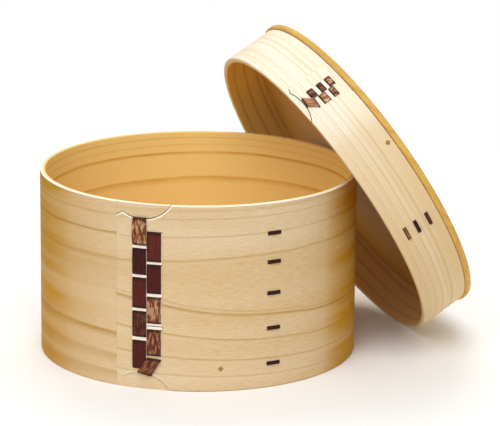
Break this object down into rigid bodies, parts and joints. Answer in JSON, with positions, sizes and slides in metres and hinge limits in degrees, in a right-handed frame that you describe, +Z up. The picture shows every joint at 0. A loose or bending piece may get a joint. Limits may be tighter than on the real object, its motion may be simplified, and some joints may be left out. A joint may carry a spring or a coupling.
{
  "type": "bent-wood rice tub",
  "caption": "Round bent-wood rice tub with a raised bottom and a deep lid, each band lapped and sewn with bark; the lid is off and leans on the tub's rim.",
  "frame": {"origin": "centre of the tub's foot, on the table", "axes": "+Z up along the tub's axis, +X towards the side on which the lid leans; the sewn seam of the tub faces -X and -Y"},
  "size_m": [0.3268, 0.2578, 0.2417],
  "materials": {
    "cypress_band": "planed, unfinished",
    "cypress_board": "planed, unfinished",
    "cherry_bark": "smooth, half gloss",
    "bamboo": "cut end"
  },
  "bodies": {
    "tub": {"tub_band": "cypress_band", "tub_bottom": "cypress_board", "tub_front_lace": "cherry_bark", "tub_tail_lace": "cherry_bark", "tub_pegs": "bamboo"},
    "lid": {"lid_band": "cypress_band", "lid_top": "cypress_board", "lid_front_lace": "cherry_bark", "lid_tail_lace": "cherry_bark", "lid_pegs": "bamboo"}
  },
  "joints": [
    {"name": "lid_lift", "type": "slide", "parent": "tub", "child": "lid", "axis": [0.8581, 0, 0.5135], "range_m": [0, 0.12]}
  ]
}
